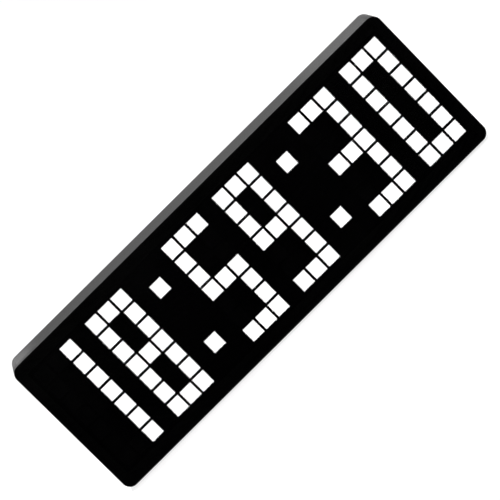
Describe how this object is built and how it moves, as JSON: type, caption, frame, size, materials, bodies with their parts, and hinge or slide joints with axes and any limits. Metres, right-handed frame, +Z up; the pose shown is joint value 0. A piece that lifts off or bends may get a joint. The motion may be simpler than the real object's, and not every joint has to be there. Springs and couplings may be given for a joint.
{
  "type": "countdown timer",
  "caption": "Free-standing desk countdown timer: block-pixel digits glow behind a smoked front in a slim dark case, with push buttons, a power slide and a charging socket on the back.",
  "frame": {"origin": "On the desk, under the middle of the body: the centre of the bounding box's bottom", "axes": "+X to the right as seen from the front, +Y from the face towards the back, +Z up"},
  "size_m": [0.183, 0.024, 0.0616],
  "materials": {
    "smoked_lens": "polished smoked acrylic",
    "foam": "closed-cell foam",
    "black_film": "printed black film",
    "white_plastic": "moulded white plastic",
    "diffuser": "milky diffuser",
    "board": "solder-masked glass fibre board",
    "chip": "moulded black resin",
    "screw": "black-plated steel",
    "case": "fine spark-eroded grain",
    "metal_can": "drawn sheet metal",
    "button": "satin moulded plastic",
    "pouch": "laminated foil",
    "wire": "flexible sleeve",
    "rubber_foot": "matte rubber"
  },
  "bodies": {
    "base": {"front_lens": "smoked_lens", "lens_tape": "foam", "mask_film": "black_film", "reflector": "white_plastic", "colon_1_cells": "diffuser", "colon_2_cells": "diffuser", "display_board": "board", "display_leds": "white_plastic", "driver_chips": "chip", "link_socket": "chip", "display_screws": "screw", "housing": "case", "rear_cover": "case", "cover_screws": "screw", "controller_board": "board", "controller_chip": "chip", "crystal": "metal_can", "link_header": "chip", "board_screws": "screw", "usb_socket": "metal_can", "buzzer": "chip", "buzzer_gasket": "foam", "power_switch": "metal_can", "battery": "pouch", "battery_pad": "foam", "battery_lead": "wire", "battery_plug": "white_plastic", "battery_jack": "white_plastic", "hour_tens_cells": "diffuser", "hour_units_cells": "diffuser", "minute_tens_cells": "diffuser", "minute_units_cells": "diffuser", "second_tens_cells": "diffuser", "second_units_cells": "diffuser", "foot_front_left": "rubber_foot", "foot_rear_left": "rubber_foot", "foot_front_right": "rubber_foot", "foot_rear_right": "rubber_foot", "hour_switch": "metal_can", "minute_switch": "metal_can", "second_switch": "metal_can", "reset_switch": "metal_can", "start_switch": "metal_can"},
    "hour_button": {"hour_button": "button", "hour_plunger": "chip"},
    "minute_button": {"minute_button": "button", "minute_plunger": "chip"},
    "second_button": {"second_button": "button", "second_plunger": "chip"},
    "reset_button": {"reset_button": "button", "reset_plunger": "chip"},
    "start_button": {"start_button": "button", "start_plunger": "chip"},
    "power_lever": {"power_lever": "button"}
  },
  "joints": [
    {"name": "hour_press", "type": "slide", "parent": "base", "child": "hour_button", "axis": [0, -1, 0], "range_m": [0, 0.0003], "stiffness_N_per_m": 5000},
    {"name": "minute_press", "type": "slide", "parent": "base", "child": "minute_button", "axis": [0, -1, 0], "range_m": [0, 0.0003], "stiffness_N_per_m": 5000},
    {"name": "second_press", "type": "slide", "parent": "base", "child": "second_button", "axis": [0, -1, 0], "range_m": [0, 0.0003], "stiffness_N_per_m": 5000},
    {"name": "reset_press", "type": "slide", "parent": "base", "child": "reset_button", "axis": [0, -1, 0], "range_m": [0, 0.0003], "stiffness_N_per_m": 5000},
    {"name": "start_press", "type": "slide", "parent": "base", "child": "start_button", "axis": [0, -1, 0], "range_m": [0, 0.0003], "stiffness_N_per_m": 5000},
    {"name": "power_slide", "type": "slide", "parent": "base", "child": "power_lever", "axis": [-1, 0, 0], "range_m": [0, 0.002]}
  ]
}
